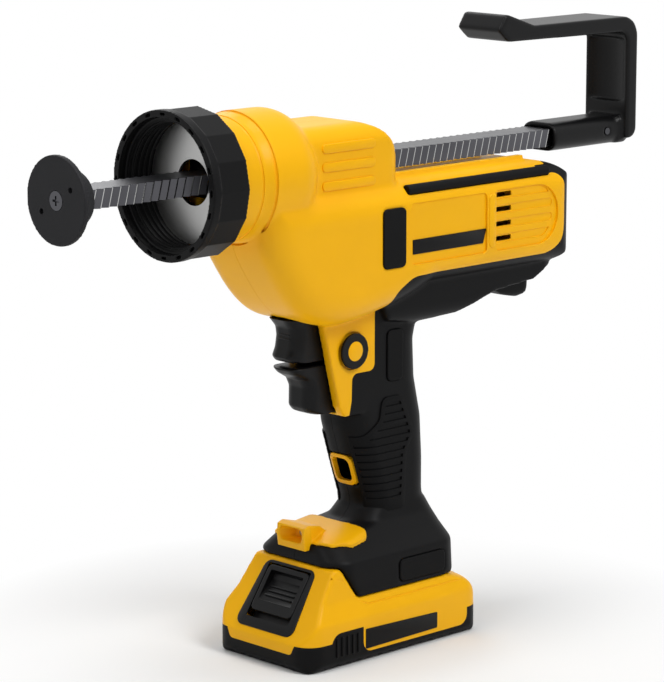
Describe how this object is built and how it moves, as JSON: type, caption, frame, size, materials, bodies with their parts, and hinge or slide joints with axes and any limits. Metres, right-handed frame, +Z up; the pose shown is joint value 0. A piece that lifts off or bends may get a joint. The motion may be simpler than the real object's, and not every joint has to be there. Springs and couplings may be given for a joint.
{
  "type": "caulking gun",
  "caption": "Cordless caulking gun with a toothed push rod, plunger disc, screw collar for the cartridge carriage, rear pull hook, pistol grip and slide-on battery pack.",
  "frame": {"origin": "centre of the flat base of the battery pack, on the ground", "axes": "+X from the plunger disc to the pull hook, along the rod; +Y towards the right side; +Z up"},
  "size_m": [0.422, 0.079, 0.3414],
  "materials": {
    "yellow_shell": "moulded, satin",
    "black_shell": "moulded, fine grain",
    "soft_rubber": "matte overmould",
    "collar_plastic": "moulded, satin",
    "zinc_steel": "zinc plated",
    "black_disc": "moulded, matte",
    "dark_steel": "blackened",
    "bronze": "sintered",
    "gear_case": "die cast",
    "motor_steel": "plain",
    "control_black": "moulded, satin",
    "circuit_green": "coated board",
    "clear_lens": "clear",
    "cell_sleeve": "shrink sleeve",
    "cradle_plastic": "moulded"
  },
  "bodies": {
    "housing": {"left_housing": "yellow_shell", "right_housing": "yellow_shell", "left_grip": "black_shell", "right_grip": "black_shell", "left_side_bumper": "soft_rubber", "left_shoulder_strip": "soft_rubber", "left_grip_panel": "soft_rubber", "left_thumb_pad": "soft_rubber", "left_foot_pad": "soft_rubber", "right_side_bumper": "soft_rubber", "right_shoulder_strip": "soft_rubber", "right_grip_panel": "soft_rubber", "right_thumb_pad": "soft_rubber", "right_foot_pad": "soft_rubber", "case_screws": "dark_steel", "front_plate": "zinc_steel", "front_guide": "bronze", "rear_guide": "bronze", "upper_bearing_plate": "motor_steel", "lower_bearing_plate": "motor_steel", "upper_bushes": "bronze", "lower_bushes": "bronze", "gearbox": "gear_case", "motor_can": "motor_steel", "motor_end_bell": "control_black", "control_board": "circuit_green", "trigger_switch": "control_black", "terminal_block": "control_black", "pocket_frame": "yellow_shell", "light_hood": "yellow_shell", "light_lens": "clear_lens"},
    "collar": {"collar_ring": "collar_plastic"},
    "rod": {"rod": "zinc_steel", "plunger_disc": "black_disc", "plunger_screw": "zinc_steel", "pull_hook": "black_shell", "hook_pin": "zinc_steel"},
    "left_drive": {"left_pinion": "dark_steel"},
    "right_drive": {"right_pinion": "dark_steel"},
    "trigger": {"trigger": "control_black"},
    "release": {"release_lever": "control_black"},
    "lock": {"lock_button": "control_black"},
    "dial": {"speed_dial": "control_black"},
    "battery": {"battery_case": "yellow_shell", "battery_base": "black_shell", "battery_screws": "dark_steel", "cell_1": "cell_sleeve", "cell_2": "cell_sleeve", "cell_3": "cell_sleeve", "cell_4": "cell_sleeve", "cell_5": "cell_sleeve", "cell_cradle": "cradle_plastic"},
    "latch": {"latch_button": "control_black"}
  },
  "joints": [
    {"name": "rod_slide", "type": "slide", "parent": "housing", "child": "rod", "axis": [1, 0, 0], "range_m": [-0.134, 0.075]},
    {"name": "collar_turn", "type": "hinge", "parent": "housing", "child": "collar", "pos_m": [-0.12, 0, 0.268], "axis": [1, 0, 0], "continuous": true},
    {"name": "left_drive_turn", "type": "hinge", "parent": "housing", "child": "left_drive", "pos_m": [-0.02388, -0.01443, 0.268], "axis": [0.2588, 0, 0.9659], "continuous": true},
    {"name": "right_drive_turn", "type": "hinge", "parent": "housing", "child": "right_drive", "pos_m": [-0.02388, 0.01443, 0.268], "axis": [0.2588, 0, 0.9659], "continuous": true},
    {"name": "trigger_pull", "type": "slide", "parent": "housing", "child": "trigger", "axis": [1, 0, 0], "range_m": [0, 0.007], "stiffness_N_per_m": 800},
    {"name": "release_pull", "type": "slide", "parent": "housing", "child": "release", "axis": [1, 0, 0], "range_m": [0, 0.007], "stiffness_N_per_m": 800},
    {"name": "lock_slide", "type": "slide", "parent": "housing", "child": "lock", "axis": [0, 1, 0], "range_m": [0, 0.0019]},
    {"name": "dial_turn", "type": "hinge", "parent": "housing", "child": "dial", "pos_m": [0.141, 0, 0.213], "axis": [0, 0, 1], "range_deg": [0, 270]},
    {"name": "battery_slide", "type": "slide", "parent": "housing", "child": "battery", "axis": [-1, 0, 0], "range_m": [0, 0.08]},
    {"name": "latch_press", "type": "slide", "parent": "battery", "child": "latch", "axis": [-0.5623, 0, -0.8269], "range_m": [0, 0.0034], "stiffness_N_per_m": 1500}
  ],
  "couplings": [
    {"joint": "left_drive_turn", "follows": "rod_slide", "rad_per_m": -193.93},
    {"joint": "right_drive_turn", "follows": "rod_slide", "rad_per_m": 193.93}
  ]
}
